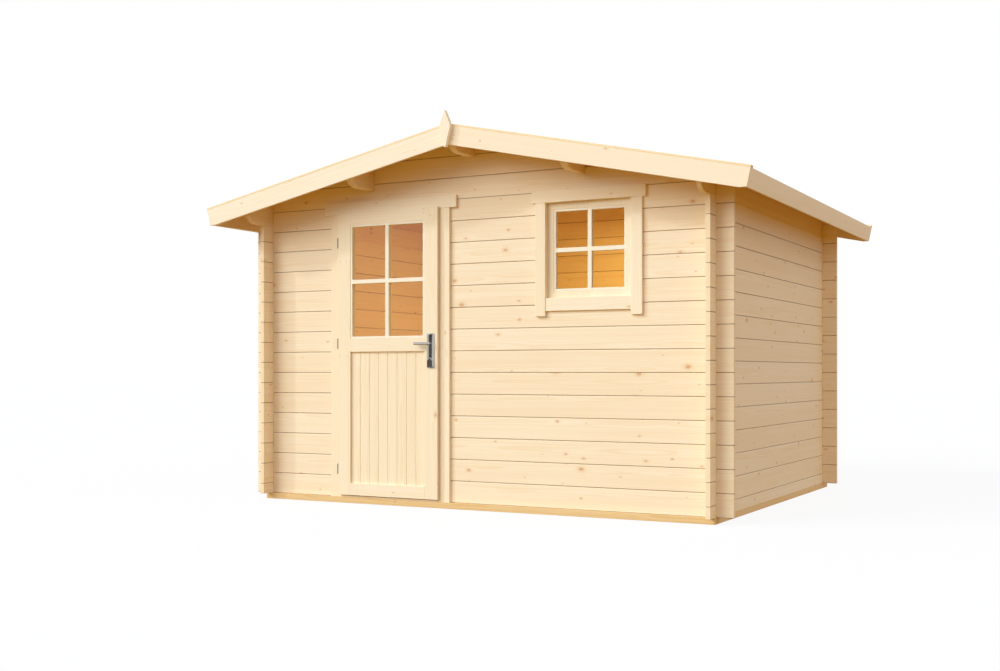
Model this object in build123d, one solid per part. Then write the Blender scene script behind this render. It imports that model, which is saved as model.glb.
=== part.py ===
from build123d import *
from math import cos, radians, sin, sqrt, tan
import os

# Log shell
course = 130.0
log_thickness = 28.0
shed_width = 3020.0
shed_depth = 2400.0
log_end = 98.0
front_courses = 14
side_courses = 13.3
joint_depth = 4.0
joint_half_width = 4.0
notch_play = 0.4

# Foundation and floor
sill_height = 36.0
sill_width = 60.0
sill_reveal = 5.0
sill_front_reveal = 30.0
joist_width = 45.0
joist_count = 5
floor_thickness = 18.0
floor_gap = 4.0

# Roof
pitch = radians(12.0)
wall_purlin_height = 135.0
front_overhang = 290.0
rear_overhang = 290.0
side_overhang = 277.0
roof_board = 18.0
barge_depth = 108.0
barge_thickness = 18.0
barge_toe = 40.0
fascia_depth = 100.0
fascia_thickness = 18.0
verge_strip_height = 12.0
verge_strip_width = 40.0

# Purlins
purlin_height = 125.0
purlin_width = 45.0
mid_purlin_centre = 715.0
purlin_nose_radius = 110.0
purlin_nose_flat = 30.0

# Finial
finial_thickness = 28.0
finial_half_width = 38.0
finial_foot_half_width = 6.0
finial_above_roof = 70.0
finial_shoulder_drop = 7.0
finial_below_barge = 19.0

# Door opening and frame
door_centre = -576.5
door_clear_width = 705.0
jamb_thickness = 35.0
frame_fit = 0.5
casing_thickness = 18.0
door_casing_width = 80.0
head_casing_thickness = 20.0
head_casing_height = 74.0
head_casing_reach = 47.0
head_casing_corner = 5.0
inner_casing_thickness = 12.0
inner_casing_width = 62.0
settling_gap = 13.0
threshold_tread = 10.0
threshold_stop = 30.0
threshold_reach = 22.0

# Door leaf
running_gap = 5.0
leaf_thickness = 42.0
leaf_lip_thickness = 15.0
leaf_lip_overlap = 10.0
stile_width = 91.0
top_rail_height = 81.0
middle_rail_height = 81.0
bottom_rail_height = 75.0
panel_top = 910.0
panel_thickness = 16.0
panel_recess = 13.0
panel_boards = 8
panel_groove_half_width = 3.0
panel_groove_depth = 3.0
housing_depth = 9.0
glass_thickness = 4.0
bead_width = 14.0
bar_width = 26.0
bead_recess = 2.0

# Door hinges
hinge_heights = (176.0, 962.0, 1594.0)
hinge_radius = 5.0
hinge_pin_radius = 3.0
hinge_pin_clearance = 0.05
hinge_height = 64.0
hinge_split_gap = 0.3
hinge_edge_gap = 1.0
hinge_arm_radius = 3.5

# Door furniture
handle_from_edge = 46.0
handle_plate_width = 52.0
handle_plate_bottom = 809.0
handle_plate_height = 209.0
handle_plate_thickness = 9.0
handle_plate_corner = 11.0
handle_plate_edge = 3.0
handle_plate_flat = 18.0
handle_plate_end_slope = 10.0
lever_height = 956.0
lever_neck_radius = 8.5
lever_neck_clearance = 0.05
lever_depth = 38.0
lever_reach = 104.0
lever_bar_radius = 8.0
lever_tip_chamfer = 3.0
spindle_radius = 4.5
spindle_hole_radius = 10.0
cover_height = 64.0
cover_width = 42.0
cover_base = 4.0
cover_proud = 5.0
cover_edge = 3.0
cylinder_centre = 36.0
cylinder_radius = 8.5
cylinder_web_width = 10.0
cylinder_web_drop = 20.0
cylinder_proud = 3.0

# Window
window_centre = 760.0
window_width = 530.0
window_first_course = 9
window_side_lining = 14.0
window_bottom_lining = 38.0
window_top_lining = 30.0
window_head_gap = 30.0
window_lining_depth = 46.0
sash_setback = 14.0
sash_thickness = 32.0
sash_member = 40.0
window_casing_width = 65.0
window_casing_tail = 30.0
window_head_casing_height = 70.0
window_head_casing_reach = 22.0
window_bottom_board_height = 75.0
window_bottom_board_thickness = 14.0

# Heights set out from the underside of the logs
half_width = shed_width / 2
inner_half_width = half_width - log_thickness
eaves_under_roof = side_courses * course + wall_purlin_height
ridge_under_roof = eaves_under_roof + half_width * tan(pitch)
ridge_roof_top = ridge_under_roof + roof_board / cos(pitch)
front_wall_top = front_courses * course
side_wall_top = side_courses * course
far = 2 * (shed_width + shed_depth)

# The origin is the middle of the footprint of the whole shed, at the underside of the sills
barge_front = -front_overhang
barge_rear = shed_depth + rear_overhang
footprint_front = barge_front - finial_thickness
footprint_rear = barge_rear + finial_thickness
to_origin = Pos(0, -(footprint_front + footprint_rear) / 2, sill_height)


def block(x_low, x_high, y_low, y_high, z_low, z_high):
    """A straight piece of timber between two opposite corners."""
    size = (x_high - x_low, y_high - y_low, z_high - z_low)
    middle = ((x_low + x_high) / 2, (y_low + y_high) / 2, (z_low + z_high) / 2)
    return Pos(*middle) * Box(*size)


def across(points, x_low, x_high):
    """An outline drawn in Y and Z, run along X."""
    face = Plane.YZ * make_face(Polyline(*points, close=True))
    return Pos(x_low, 0, 0) * extrude(face, x_high - x_low)


def along(points, y_low, y_high):
    """An outline drawn in X and Z, run along Y."""
    face = Plane.XZ * make_face(Polyline(*points, close=True))
    return Pos(0, y_high, 0) * extrude(face, y_high - y_low)


def mirrored(shape):
    """The same piece on the other side of the ridge."""
    return shape.mirror(Plane.YZ)


def log_outline(face_low, low, high, joints):
    """Outline of stacked logs, with a V along every joint on both faces."""
    face_high = face_low + log_thickness
    up = [(face_low, low)]
    down = [(face_high, low)]
    for joint in joints:
        for rise in (-joint_half_width, 0.0, joint_half_width):
            depth = joint_depth if rise == 0.0 else 0.0
            up.append((face_low + depth, joint + rise))
            down.append((face_high - depth, joint + rise))
    up.append((face_low, high))
    down.append((face_high, high))
    return up + down[::-1]


def joints_between(low, high, first):
    """Heights of the log joints inside a stack, counted up from its first joint."""
    heights = []
    height = first
    while height < high - joint_half_width:
        if height > low + joint_half_width:
            heights.append(height)
        height += course
    return heights


def roof_space(drop=0.0):
    """Everything below the underside of the roof boards, lowered by a given drop."""
    eaves_x = half_width + side_overhang
    ridge = ridge_under_roof - drop
    eaves = ridge - eaves_x * tan(pitch)
    points = [(-eaves_x, -course), (eaves_x, -course), (eaves_x, eaves), (0, ridge), (-eaves_x, eaves)]
    return along(points, -far, far)


def under_roof(x):
    """Height of the underside of the roof boards over a point across the shed."""
    return ridge_under_roof - abs(x) * tan(pitch)


# Interlocking corners: the logs of the front and rear walls lie half a course above those of the
# side walls, and each log is notched by a quarter of its height above and below where they cross
corner_columns = [(-half_width, -inner_half_width), (inner_half_width, half_width)]
wall_rows = [(0.0, log_thickness), (shed_depth - log_thickness, shed_depth)]


def long_wall(row):
    """A front or rear wall, log ends and corner notches included, without openings."""
    reach = half_width + log_end
    joints = joints_between(0.0, front_wall_top, course)
    wall = across(log_outline(row[0], 0.0, front_wall_top, joints), -reach, reach)
    notches = []
    for column in corner_columns:
        for index in range(0, 2 * front_courses + 1, 2):
            middle = index * course / 2
            notches.append(block(column[0] - notch_play, column[1] + notch_play,
                                 row[0] - 1, row[1] + 1,
                                 middle - course / 4, middle + course / 4))
    return wall - notches


def side_wall():
    """The right side wall: a half log at the foot, whole logs above, notched at both ends."""
    joints = joints_between(0.0, side_wall_top, course / 2)
    outline = log_outline(inner_half_width, 0.0, side_wall_top, joints)
    wall = along(outline, -log_end, shed_depth + log_end)
    notches = []
    for row in wall_rows:
        for index in range(1, 2 * front_courses, 2):
            middle = index * course / 2
            notches.append(block(inner_half_width - 1, half_width + 1,
                                 row[0] - notch_play, row[1] + notch_play,
                                 middle - course / 4, middle + course / 4))
    return wall - notches


def purlin(x, width, bottom):
    """A purlin over the full length of the roof, its lower ends rounded upwards."""
    front = barge_front + barge_thickness
    rear = barge_rear - barge_thickness
    top = ridge_under_roof + roof_board
    nose_height = under_roof(x) - bottom - purlin_nose_flat
    nose_length = sqrt(purlin_nose_radius ** 2 - (purlin_nose_radius - nose_height) ** 2)
    nose_top = bottom + nose_height
    front_curve = RadiusArc((front, nose_top), (front + nose_length, bottom), -purlin_nose_radius)
    rear_curve = RadiusArc((rear - nose_length, bottom), (rear, nose_top), -purlin_nose_radius)
    rest = Polyline((rear, nose_top), (rear, top), (front, top), (front, nose_top))
    belly = Line((front + nose_length, bottom), (rear - nose_length, bottom))
    face = Plane.YZ * make_face(Curve() + [front_curve, belly, rear_curve, rest])
    timber = Pos(x - width / 2, 0, 0) * extrude(face, width)
    return timber & roof_space()


# Purlins
ridge_purlin_bottom = ridge_under_roof - purlin_height
mid_purlin_bottom = under_roof(mid_purlin_centre) - purlin_height
ridge_purlin = purlin(0.0, purlin_width, ridge_purlin_bottom)
mid_purlin = purlin(mid_purlin_centre, purlin_width, mid_purlin_bottom)
wall_purlin = purlin(half_width - log_thickness / 2, log_thickness, side_wall_top)
wall_purlin_seat = front_wall_top - course / 4
for row in wall_rows:
    wall_purlin -= block(inner_half_width - 1, half_width + 1, row[0] - notch_play, row[1] + notch_play,
                         side_wall_top - 1, wall_purlin_seat)


def gable(row):
    """The logs above the long wall, cut to the roof slope and slotted for the purlins."""
    reach = inner_half_width - notch_play
    joints = joints_between(front_wall_top, ridge_under_roof, front_wall_top)
    logs = across(log_outline(row[0], front_wall_top, ridge_under_roof + course, joints), -reach, reach)
    logs = logs & roof_space()
    slots = []
    for x, bottom in ((-mid_purlin_centre, mid_purlin_bottom), (0.0, ridge_purlin_bottom),
                      (mid_purlin_centre, mid_purlin_bottom)):
        slot_half = purlin_width / 2 + notch_play
        slots.append(block(x - slot_half, x + slot_half, row[0] - 1, row[1] + 1,
                           bottom, ridge_under_roof + course))
    return logs - slots


# Walls, parted at log joints beside and over the door and the window
rough_half = door_clear_width / 2 + jamb_thickness + frame_fit
door_rough_left = door_centre - rough_half
door_rough_right = door_centre + rough_half
window_rough_half = window_width / 2 + window_side_lining + frame_fit
window_rough_left = window_centre - window_rough_half
window_rough_right = window_centre + window_rough_half
window_rough_bottom = window_first_course * course

front_logs = long_wall(wall_rows[0])
front_wall_left = front_logs & block(-far, door_rough_left, -far, far, 0, front_wall_top)
front_wall_right = front_logs & block(door_rough_right, far, -far, far, 0, window_rough_bottom)
front_wall_middle = front_logs & block(door_rough_right, window_rough_left, -far, far,
                                       window_rough_bottom, front_wall_top)
front_wall_corner = front_logs & block(window_rough_right, far, -far, far,
                                       window_rough_bottom, front_wall_top)
rear_wall = long_wall(wall_rows[1])
front_gable = gable(wall_rows[0])
rear_gable = gable(wall_rows[1])
right_wall = side_wall()
left_wall = mirrored(right_wall)

# Sills under the walls, joists between them and the floor on top. The front sill lies across the
# side sills' ends, and the side sills run back as far as the log ends, with the rear sill between them
sill_outer_x = half_width + sill_reveal
sill_inner_x = sill_outer_x - sill_width
sill_front = -sill_front_reveal
sill_rear = shed_depth + sill_reveal
end_sills = [
    block(-sill_outer_x, sill_outer_x, sill_front, sill_front + sill_width, -sill_height, 0),
    block(-sill_inner_x, sill_inner_x, sill_rear - sill_width, sill_rear, -sill_height, 0),
]
side_sill = block(sill_inner_x, sill_outer_x, sill_front + sill_width, shed_depth + log_end,
                  -sill_height, 0)
side_sills = [side_sill, mirrored(side_sill)]
joist_pitch = 2 * sill_inner_x / (joist_count + 1)
floor_joists = []
for number in range(joist_count):
    x = -sill_inner_x + joist_pitch * (number + 1)
    floor_joists.append(block(x - joist_width / 2, x + joist_width / 2, sill_front + sill_width,
                              sill_rear - sill_width, -sill_height, 0))
floor_half = inner_half_width - floor_gap
floor_front = log_thickness + inner_casing_thickness + floor_gap
floor_boards = block(-floor_half, floor_half, floor_front, shed_depth - log_thickness - floor_gap,
                     0, floor_thickness)

# Roof boards, barge boards, eaves fascias and verge strips, all set out along the slope
slope = Vector(cos(pitch), 0, -sin(pitch))
square = Vector(sin(pitch), 0, cos(pitch))
slope_length = (half_width + side_overhang) / cos(pitch) - fascia_thickness
ridge_point = Vector(0, 0, ridge_roof_top)


def on_slope(run, depth):
    """Point a given run down the slope and a given depth square below the roof's top."""
    point = ridge_point + slope * run - square * depth
    return (point.X, point.Z)


def at_ridge(depth):
    """Point in the middle of the ridge, a given depth square below the roof's top."""
    return (0.0, ridge_roof_top - depth / cos(pitch))


def slope_board(run_start, run_end, depth_top, depth_bottom, y_low, y_high):
    """A board lying along the right-hand slope, plumb-cut where it starts at the ridge."""
    if run_start == 0.0:
        start = [at_ridge(depth_bottom), at_ridge(depth_top)]
    else:
        start = [on_slope(run_start, depth_bottom), on_slope(run_start, depth_top)]
    end = [on_slope(run_end, depth_top), on_slope(run_end, depth_bottom)]
    return along(start + end, y_low, y_high)


def barge_board(y_low, y_high):
    """A barge board from the ridge to the eaves, its lower end cut off level at the toe."""
    board = slope_board(0.0, barge_run, 0.0, barge_depth, y_low, y_high)
    toe_level = on_slope(barge_run, barge_depth)[1] + barge_toe * sin(pitch) * cos(pitch)
    return board & block(-far, far, -far, far, toe_level, far)


roof_front = barge_front + barge_thickness
roof_rear = barge_rear - barge_thickness
barge_run = slope_length + fascia_thickness
roof_boards = slope_board(0.0, slope_length, 0.0, roof_board, roof_front, roof_rear)
eaves_fascia = slope_board(slope_length, barge_run, 0.0, fascia_depth, roof_front, roof_rear)
front_barge = barge_board(barge_front, roof_front)
rear_barge = barge_board(roof_rear, barge_rear)
front_strip = slope_board(0.0, barge_run, -verge_strip_height, 0.0,
                          barge_front, barge_front + verge_strip_width)
rear_strip = slope_board(0.0, barge_run, -verge_strip_height, 0.0,
                         barge_rear - verge_strip_width, barge_rear)

# Finial: a kite-shaped board over the joint of the two barge boards
finial_top = at_ridge(-verge_strip_height)[1] + finial_above_roof
finial_shoulder = ridge_roof_top - finial_shoulder_drop
finial_foot = at_ridge(barge_depth)[1] - finial_below_barge
finial_outline = [
    (-finial_foot_half_width, finial_foot),
    (finial_foot_half_width, finial_foot),
    (finial_half_width, finial_shoulder),
    (0.0, finial_top),
    (-finial_half_width, finial_shoulder),
]
finial_boards = [
    along(finial_outline, footprint_front, barge_front),
    along(finial_outline, barge_rear, footprint_rear),
]

# Door frame: grooved jambs and head slipped over the log ends, with a rebated threshold
clear_half = door_clear_width / 2
frame_top = front_wall_top - settling_gap
door_clear_top = frame_top - jamb_thickness
frame_inner = log_thickness + inner_casing_thickness


def door_jamb():
    """The jamb on the side of the latch, with its outer and inner casings in one piece."""
    clear = door_centre + clear_half
    web = block(clear, clear + jamb_thickness, -casing_thickness, frame_inner, 0, door_clear_top)
    outer = block(clear, clear + door_casing_width, -casing_thickness, 0, 0, door_clear_top)
    inner = block(clear, clear + inner_casing_width, log_thickness, frame_inner, 0, door_clear_top)
    return web + outer + inner


def head_casing(x_low, x_high, z_low, z_high):
    """A casing over an opening, proud of the ones below it, with rounded lower corners."""
    board = block(x_low, x_high, -head_casing_thickness, 0, z_low, z_high)
    lower_corners = board.edges().filter_by(Axis.Y).sort_by(Axis.Z)[:2]
    return fillet(lower_corners, head_casing_corner)


def mirrored_on_door(shape):
    """The same piece on the other side of the door."""
    return shape.mirror(Plane(origin=(door_centre, 0, 0), z_dir=(1, 0, 0)))


latch_jamb = door_jamb()
door_jambs = [latch_jamb, mirrored_on_door(latch_jamb)]
head_web_half = clear_half + jamb_thickness
head_outer_half = clear_half + door_casing_width + head_casing_reach
head_inner_half = clear_half + inner_casing_width
door_head = (
    block(door_centre - head_web_half, door_centre + head_web_half, -head_casing_thickness, frame_inner,
          door_clear_top, frame_top)
    + head_casing(door_centre - head_outer_half, door_centre + head_outer_half,
                  door_clear_top, door_clear_top + head_casing_height)
    + block(door_centre - head_inner_half, door_centre + head_inner_half, log_thickness, frame_inner,
            door_clear_top, door_clear_top + inner_casing_width)
)
leaf_front = -head_casing_thickness - running_gap - leaf_lip_thickness
leaf_back = leaf_front + leaf_thickness
threshold = (
    block(door_centre - clear_half, door_centre + clear_half, -threshold_reach, frame_inner,
          0, threshold_tread)
    + block(door_centre - clear_half, door_centre + clear_half, leaf_back + running_gap, frame_inner,
            0, threshold_stop)
)

# Door leaf: stiles and rails with a lip that closes over the frame
lip_half = clear_half + leaf_lip_overlap
body_half = clear_half - running_gap
lip_back = leaf_front + leaf_lip_thickness
leaf_bottom = threshold_tread + running_gap
leaf_top = door_clear_top + leaf_lip_overlap
leaf_left = door_centre - lip_half
leaf_right = door_centre + lip_half
leaf_blank = (
    block(leaf_left, leaf_right, leaf_front, lip_back, leaf_bottom, leaf_top)
    + block(door_centre - body_half, door_centre + body_half, lip_back, leaf_back,
            leaf_bottom, door_clear_top - running_gap)
)
field_left = leaf_left + stile_width
field_right = leaf_right - stile_width
panel_bottom = leaf_bottom + bottom_rail_height
glazing_bottom = panel_top + middle_rail_height
glazing_top = leaf_top - top_rail_height

panel_front = leaf_front + panel_recess
panel_back = panel_front + panel_thickness
door_panel = block(field_left - housing_depth, field_right + housing_depth, panel_front, panel_back,
                   panel_bottom - housing_depth, panel_top + housing_depth)
glass_front = (leaf_front + leaf_back - glass_thickness) / 2
glass_back = glass_front + glass_thickness
door_glass = block(field_left - housing_depth, field_right + housing_depth, glass_front, glass_back,
                   glazing_bottom - housing_depth, glazing_top + housing_depth)

handle_x = leaf_right - handle_from_edge
leaf_frame = leaf_blank - [
    block(field_left, field_right, -far, far, panel_bottom, panel_top),
    block(field_left, field_right, -far, far, glazing_bottom, glazing_top),
    door_panel,
    door_glass,
]
spindle_hole = Pos(handle_x, (leaf_front + leaf_back) / 2, lever_height) * Rot(90, 0, 0) * Cylinder(
    spindle_hole_radius, 2 * leaf_thickness)
door_stiles = [
    leaf_frame & block(-far, field_left, -far, far, 0, far),
    (leaf_frame & block(field_right, far, -far, far, 0, far)) - spindle_hole,
]
door_rails = [
    leaf_frame & block(field_left, field_right, -far, far, 0, panel_bottom),
    leaf_frame & block(field_left, field_right, -far, far, panel_top, glazing_bottom),
    leaf_frame & block(field_left, field_right, -far, far, glazing_top, far),
]

panel_board_width = (field_right - field_left) / panel_boards
for number in range(1, panel_boards):
    x = field_left + panel_board_width * number
    groove = Polyline((x - panel_groove_half_width, panel_front),
                      (x + panel_groove_half_width, panel_front),
                      (x, panel_front + panel_groove_depth), close=True)
    door_panel -= Pos(0, 0, panel_bottom - course) * extrude(make_face(groove), panel_top + course)


def glazing_grille(left, right, bottom, top, y_low, y_high):
    """Glazing beads round an opening with a cross of bars between them."""
    middle_x = (left + right) / 2
    middle_z = (bottom + top) / 2
    ring = block(left, right, y_low, y_high, bottom, top) - block(
        left + bead_width, right - bead_width, -far, far, bottom + bead_width, top - bead_width)
    upright = block(middle_x - bar_width / 2, middle_x + bar_width / 2, y_low, y_high, bottom, top)
    crossbar = block(left, right, y_low, y_high, middle_z - bar_width / 2, middle_z + bar_width / 2)
    return ring + upright + crossbar


door_bars = [
    glazing_grille(field_left, field_right, glazing_bottom, glazing_top,
                   leaf_front + bead_recess, glass_front),
    glazing_grille(field_left, field_right, glazing_bottom, glazing_top,
                   glass_back, leaf_back - bead_recess),
]

# Screw-in hinges: a pin standing in the lower barrel on the casing, and an upper barrel on the leaf
hinge_x = leaf_left - hinge_edge_gap - hinge_radius
hinge_y = (leaf_front + lip_back) / 2
frame_barrels = []
leaf_barrels = []
for height in hinge_heights:
    half = hinge_height / 2 - hinge_split_gap / 2
    low = height - hinge_height / 2
    split = low + half
    upper = split + hinge_split_gap
    pin_top = upper + half * 2 / 3
    axis = Pos(hinge_x, hinge_y, 0)
    lower_barrel = axis * Pos(0, 0, low + half / 2) * Cylinder(hinge_radius, half)
    pin = axis * Pos(0, 0, (split + pin_top) / 2) * Cylinder(hinge_pin_radius, pin_top - split)
    arm_length = -casing_thickness - hinge_y
    arm = Pos(hinge_x, hinge_y + arm_length / 2, low + half / 2) * Rot(90, 0, 0) * Cylinder(
        hinge_arm_radius, arm_length)
    frame_barrels.append(lower_barrel + pin + arm)
    upper_barrel = axis * Pos(0, 0, upper + half / 2) * Cylinder(hinge_radius, half)
    leaf_arm_length = leaf_left - hinge_x
    leaf_arm = Pos(hinge_x + leaf_arm_length / 2, hinge_y, upper + half / 2) * Rot(0, 90, 0) * Cylinder(
        hinge_arm_radius, leaf_arm_length)
    bore = axis * Pos(0, 0, (upper + pin_top + 1) / 2) * Cylinder(
        hinge_pin_radius + hinge_pin_clearance, pin_top + 1 - upper)
    leaf_barrels.append(upper_barrel + leaf_arm - bore)


# Door furniture: long plates on both faces, and a lever each side on one spindle
def handle_plate(face, outward):
    """A long plate on one face of the leaf, sloped to its edges, with the cover of the lock cylinder."""
    bottom = handle_plate_bottom
    top = bottom + handle_plate_height
    half = handle_plate_width / 2
    flat = handle_plate_flat / 2
    edge = handle_plate_edge
    thickness = handle_plate_thickness
    middle = (bottom + top) / 2
    outline = Pos(0, middle) * RectangleRounded(handle_plate_width, handle_plate_height, handle_plate_corner)
    section = Polyline((-half, 0), (-half, -edge), (-flat, -thickness), (flat, -thickness),
                       (half, -edge), (half, 0), close=True)
    profile = [(0, bottom), (-edge, bottom), (-thickness, bottom + handle_plate_end_slope),
               (-thickness, top - handle_plate_end_slope), (-edge, top), (0, top)]
    plate = extrude(Plane.XZ * outline, thickness)
    plate &= extrude(make_face(section), top)
    plate &= across(profile, -half, half)
    cover_half = cover_width / 2
    cover_top = bottom + cover_height
    shoulder = cover_top - cover_half
    cover_outline = Polyline((-cover_half, bottom + cover_base), (cover_half, bottom + cover_base),
                             (cover_half, shoulder), (0, cover_top), (-cover_half, shoulder), close=True)
    cover = extrude(Plane.XZ * make_face(cover_outline), thickness + cover_proud)
    cover = chamfer(cover.faces().sort_by(Axis.Y)[0].edges(), cover_edge)
    cylinder_outline = (
        Circle(cylinder_radius)
        + Pos(0, -cylinder_web_drop / 2) * Rectangle(cylinder_web_width, cylinder_web_drop)
        + Pos(0, -cylinder_web_drop) * Circle(cylinder_web_width / 2)
    )
    cylinder = extrude(Plane.XZ * cylinder_outline, thickness + cover_proud + cylinder_proud)
    plate = plate + cover + Pos(0, 0, bottom + cylinder_centre) * cylinder
    plate -= Pos(0, 0, lever_height) * Rot(90, 0, 0) * Cylinder(
        lever_neck_radius + lever_neck_clearance, 4 * thickness)
    if outward < 0:
        return Pos(handle_x, face, 0) * plate
    return Pos(handle_x, face, 0) * plate.mirror(Plane.XZ)


def lever(face, outward):
    """A round neck out of the plate, and a round bar across it towards the hinges."""
    bar_y = lever_bar_radius - lever_depth
    bar_length = lever_reach + lever_bar_radius
    neck = Pos(0, bar_y / 2, 0) * Rot(90, 0, 0) * Cylinder(lever_neck_radius, -bar_y)
    bar = Pos(lever_bar_radius - bar_length / 2, bar_y, 0) * Rot(0, 90, 0) * Cylinder(
        lever_bar_radius, bar_length)
    bar = chamfer(bar.edges().sort_by(Axis.X)[0], lever_tip_chamfer)
    handle = neck + bar
    if outward > 0:
        handle = handle.mirror(Plane.XZ)
    return Pos(handle_x, face, lever_height) * handle


handle_plates = [handle_plate(leaf_front, -1), handle_plate(leaf_back, 1)]
spindle = Pos(handle_x, (leaf_front + leaf_back) / 2, lever_height) * Rot(90, 0, 0) * Cylinder(
    spindle_radius, leaf_thickness + 2)
door_lever = lever(leaf_front, -1) + lever(leaf_back, 1) + spindle

# Window: a lining in the wall, a fixed sash with four panes, and casings outside
window_left = window_centre - window_width / 2
window_right = window_centre + window_width / 2
sash_bottom = window_rough_bottom + window_bottom_lining
lining_top = front_wall_top - window_head_gap
sash_top = lining_top - window_top_lining
window_frame = block(window_left - window_side_lining, window_right + window_side_lining, 0,
                     window_lining_depth, window_rough_bottom, lining_top) - block(
    window_left, window_right, -far, far, sash_bottom, sash_top)
sash_front = sash_setback
sash_back = sash_front + sash_thickness
pane_left = window_left + sash_member
pane_right = window_right - sash_member
pane_bottom = sash_bottom + sash_member
pane_top = sash_top - sash_member
window_glass_front = (sash_front + sash_back - glass_thickness) / 2
window_glass_back = window_glass_front + glass_thickness
window_glass = block(pane_left - housing_depth, pane_right + housing_depth, window_glass_front,
                     window_glass_back, pane_bottom - housing_depth, pane_top + housing_depth)
window_sash = block(window_left, window_right, sash_front, sash_back, sash_bottom, sash_top) - [
    block(pane_left, pane_right, -far, far, pane_bottom, pane_top),
    window_glass,
]
window_bars = [
    glazing_grille(pane_left, pane_right, pane_bottom, pane_top,
                   sash_front + bead_recess, window_glass_front),
    glazing_grille(pane_left, pane_right, pane_bottom, pane_top,
                   window_glass_back, sash_back - bead_recess),
]
bottom_board_top = sash_bottom + bead_recess
bottom_board_bottom = bottom_board_top - window_bottom_board_height
window_bottom_board = block(window_left, window_right, -window_bottom_board_thickness, 0,
                            bottom_board_bottom, bottom_board_top)
head_casing_bottom = sash_top - bead_recess
window_side_casings = [
    block(window_left - window_casing_width, window_left, -casing_thickness, 0,
          bottom_board_bottom - window_casing_tail, head_casing_bottom),
    block(window_right, window_right + window_casing_width, -casing_thickness, 0,
          bottom_board_bottom - window_casing_tail, head_casing_bottom),
]
window_head_reach = window_width / 2 + window_casing_width + window_head_casing_reach
window_head_casing = head_casing(window_centre - window_head_reach, window_centre + window_head_reach,
                                 head_casing_bottom, head_casing_bottom + window_head_casing_height)

pieces = {
    "end_sills": end_sills,
    "side_sills": side_sills,
    "floor_joists": floor_joists,
    "floor_boards": [floor_boards],
    "front_wall_left": [front_wall_left],
    "front_wall_right": [front_wall_right],
    "front_wall_middle": [front_wall_middle],
    "front_wall_corner": [front_wall_corner],
    "front_gable": [front_gable],
    "rear_wall": [rear_wall],
    "rear_gable": [rear_gable],
    "left_wall": [left_wall],
    "right_wall": [right_wall],
    "ridge_purlin": [ridge_purlin],
    "mid_purlins": [mid_purlin, mirrored(mid_purlin)],
    "wall_purlins": [wall_purlin, mirrored(wall_purlin)],
    "roof_boards_left": [mirrored(roof_boards)],
    "roof_boards_right": [roof_boards],
    "barge_boards_left": [mirrored(front_barge), mirrored(rear_barge)],
    "barge_boards_right": [front_barge, rear_barge],
    "eaves_fascias": [mirrored(eaves_fascia), eaves_fascia],
    "verge_strips_left": [mirrored(front_strip), mirrored(rear_strip)],
    "verge_strips_right": [front_strip, rear_strip],
    "finial_boards": finial_boards,
    "door_jambs": door_jambs,
    "door_head": [door_head],
    "door_threshold": [threshold],
    "hinge_pins": frame_barrels,
    "door_stiles": door_stiles,
    "door_rails": door_rails,
    "door_panel": [door_panel],
    "door_glass": [door_glass],
    "door_bars": door_bars,
    "hinge_barrels": leaf_barrels,
    "handle_plates": handle_plates,
    "door_lever": [door_lever],
    "window_frame": [window_frame],
    "window_sash": [window_sash],
    "window_glass": [window_glass],
    "window_bars": window_bars,
    "window_head_casing": [window_head_casing],
    "window_side_casings": window_side_casings,
    "window_bottom_board": [window_bottom_board],
}

os.makedirs("parts", exist_ok=True)
for name, shapes in pieces.items():
    solids = []
    for shape in shapes:
        solids += (to_origin * shape).solids()
    export_step(Compound(children=solids) if len(solids) > 1 else solids[0], f"parts/{name}.step")

print("front wall face at Y", round(to_origin.position.Y, 3), "log base at Z", sill_height)
print("hinge axis", round(hinge_x, 3), round(hinge_y + to_origin.position.Y, 3))
print("lever axis", round(handle_x, 3), round(lever_height + sill_height, 3))
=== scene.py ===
from math import cos, radians, sin

import bmesh
import bpy
from mathutils import Matrix, Vector


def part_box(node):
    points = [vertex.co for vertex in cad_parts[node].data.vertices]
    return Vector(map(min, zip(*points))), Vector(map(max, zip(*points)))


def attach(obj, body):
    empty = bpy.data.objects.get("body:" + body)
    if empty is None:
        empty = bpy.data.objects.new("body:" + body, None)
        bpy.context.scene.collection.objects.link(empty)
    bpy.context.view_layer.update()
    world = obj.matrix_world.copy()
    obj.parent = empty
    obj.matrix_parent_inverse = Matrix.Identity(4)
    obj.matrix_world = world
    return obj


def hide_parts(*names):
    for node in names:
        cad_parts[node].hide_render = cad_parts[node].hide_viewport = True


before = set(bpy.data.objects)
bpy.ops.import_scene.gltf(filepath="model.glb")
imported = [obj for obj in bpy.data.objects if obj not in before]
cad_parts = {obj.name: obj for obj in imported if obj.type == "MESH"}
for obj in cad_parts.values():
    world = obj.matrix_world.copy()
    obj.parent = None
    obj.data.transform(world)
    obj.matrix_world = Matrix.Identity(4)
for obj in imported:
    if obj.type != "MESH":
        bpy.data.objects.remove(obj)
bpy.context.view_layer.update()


# Sills and joists
# The shed stands on a ring of planed spruce beams laid flat, with joists between them for the floor.
# They are a slightly darker, more yellow wood than the logs, and lie under the walls without fixings.
def paint(red, green, blue):
    """A colour given as it is seen on a screen, 0 to 255, for a shader socket."""
    return tuple(((c / 255 + 0.055) / 1.055) ** 2.4 if c > 10 else c / 255 / 12.92
                 for c in (red, green, blue)) + (1.0,)


def feed(tree, socket, value):
    """Plugs another socket or a plain value into an input."""
    if isinstance(value, bpy.types.NodeSocket):
        tree.links.new(value, socket)
    else:
        socket.default_value = value


def math(tree, operation, *values):
    """A Math node."""
    node = tree.nodes.new("ShaderNodeMath")
    node.operation = operation
    for socket, value in zip(node.inputs, values):
        feed(tree, socket, value)
    return node.outputs[0]


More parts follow.
